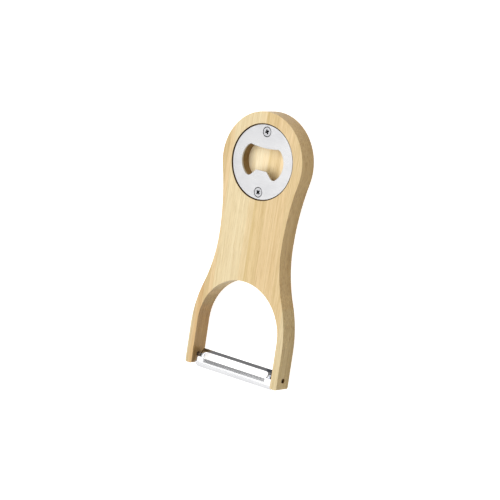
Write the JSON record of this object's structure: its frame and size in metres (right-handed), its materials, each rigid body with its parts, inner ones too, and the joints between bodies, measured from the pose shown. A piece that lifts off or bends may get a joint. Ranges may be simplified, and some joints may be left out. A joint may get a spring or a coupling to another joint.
{
  "type": "bottle opener with swivel peeler",
  "caption": "Flat bamboo opener handle with a round inset steel cap-lifter plate in its head and a slotted peeler blade that swivels between the prongs of its forked end.",
  "frame": {"origin": "on the flat back face, under the centre of the opener plate", "axes": "+X across the board along the blade's pins, +Y along the board towards the round head, +Z out of the front face"},
  "size_m": [0.0636, 0.1446, 0.01],
  "materials": {
    "bamboo": "laminated bamboo, sanded and lightly oiled",
    "satin_steel": "satin stainless sheet",
    "screw_steel": "bright plated",
    "blade_steel": "polished and ground stainless",
    "pin_steel": "drawn steel wire"
  },
  "bodies": {
    "handle": {"handle_body": "bamboo", "opener_plate": "satin_steel", "upper_plate_screw": "screw_steel", "lower_plate_screw": "screw_steel", "left_pivot_pin": "pin_steel", "right_pivot_pin": "pin_steel"},
    "blade": {"peeler_blade": "blade_steel"}
  },
  "joints": [
    {"name": "blade_swivel", "type": "hinge", "parent": "handle", "child": "blade", "pos_m": [0, -0.11145, 0.005], "axis": [1, 0, 0], "continuous": true}
  ]
}
